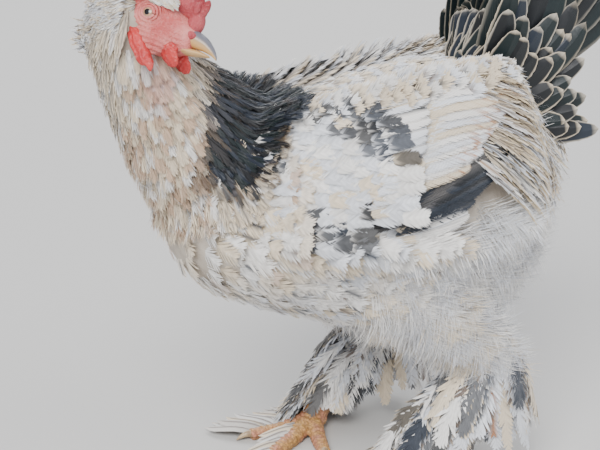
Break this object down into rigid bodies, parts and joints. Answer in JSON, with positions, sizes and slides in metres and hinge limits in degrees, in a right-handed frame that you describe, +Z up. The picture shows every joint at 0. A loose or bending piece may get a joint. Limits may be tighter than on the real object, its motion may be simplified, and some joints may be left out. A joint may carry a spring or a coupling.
{
  "type": "brahma chicken model",
  "caption": "Life-size still model of a Brahma cock standing low on feathered feet, head turned back over its left side.",
  "frame": {"origin": "on the floor under the middle of the bird's bounding box", "axes": "+Z up; the bird's body faces -X; its left side is -Y"},
  "size_m": [0.443, 0.2596, 0.4442],
  "materials": {
    "pale_coat": "soft matte feathers, white with cream and blue-black marks",
    "hackle_coat": "long cream and buff feathers striped with brown and black",
    "black_coat": "black feathers with a green-blue sheen and pale edges",
    "red_skin": "bare wrinkled red skin",
    "horn": "satin horn",
    "scaled_skin": "satin scaled yellow skin",
    "eye": "wet gloss, dark pupil in an orange iris"
  },
  "bodies": {
    "root": {"trunk": "pale_coat", "wing_left": "pale_coat", "wing_right": "pale_coat", "thigh_left": "pale_coat", "thigh_right": "pale_coat", "shank_left": "pale_coat", "shank_right": "pale_coat", "neck": "hackle_coat", "tail": "black_coat", "head": "red_skin", "comb": "red_skin", "wattle_left": "red_skin", "wattle_right": "red_skin", "earlobe_left": "red_skin", "earlobe_right": "red_skin", "beak_upper": "horn", "beak_lower": "horn", "eye_left": "eye", "eye_right": "eye", "foot_left": "scaled_skin", "foot_right": "scaled_skin", "claw_left_inner": "horn", "claw_left_middle": "horn", "claw_left_outer": "horn", "claw_left_hind": "horn", "claw_right_inner": "horn", "claw_right_middle": "horn", "claw_right_outer": "horn", "claw_right_hind": "horn"}
  },
  "joints": []
}
